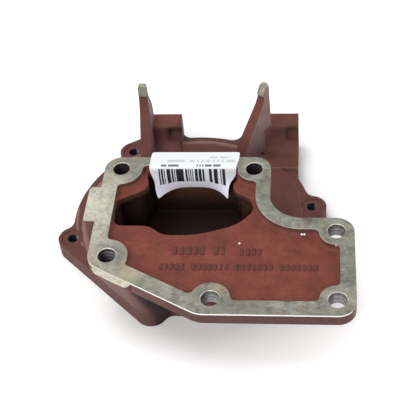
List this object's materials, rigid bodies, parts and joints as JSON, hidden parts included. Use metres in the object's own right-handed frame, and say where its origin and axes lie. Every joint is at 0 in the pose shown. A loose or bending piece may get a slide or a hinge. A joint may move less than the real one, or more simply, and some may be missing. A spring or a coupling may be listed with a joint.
{
  "type": "water pump bracket",
  "caption": "Cast bracket with a flat bolted gasket flange round a shallow pocket, carried on a short drum with a lobed base, and with ribs and blocks at the back",
  "frame": {"origin": "Where the axis of the round base meets the base face", "axes": "+Z points from the base face to the gasket face, +Y to the two rear blocks, +X towards the arm of the flange that carries its right-hand holes"},
  "size_m": [0.1962, 0.2015, 0.0705],
  "materials": {
    "casting": "satin red-brown primer over rough casting, with machined bare faces",
    "label": "smooth white paper label"
  },
  "bodies": {
    "root": {"bracket_casting": "casting"}
  },
  "joints": []
}
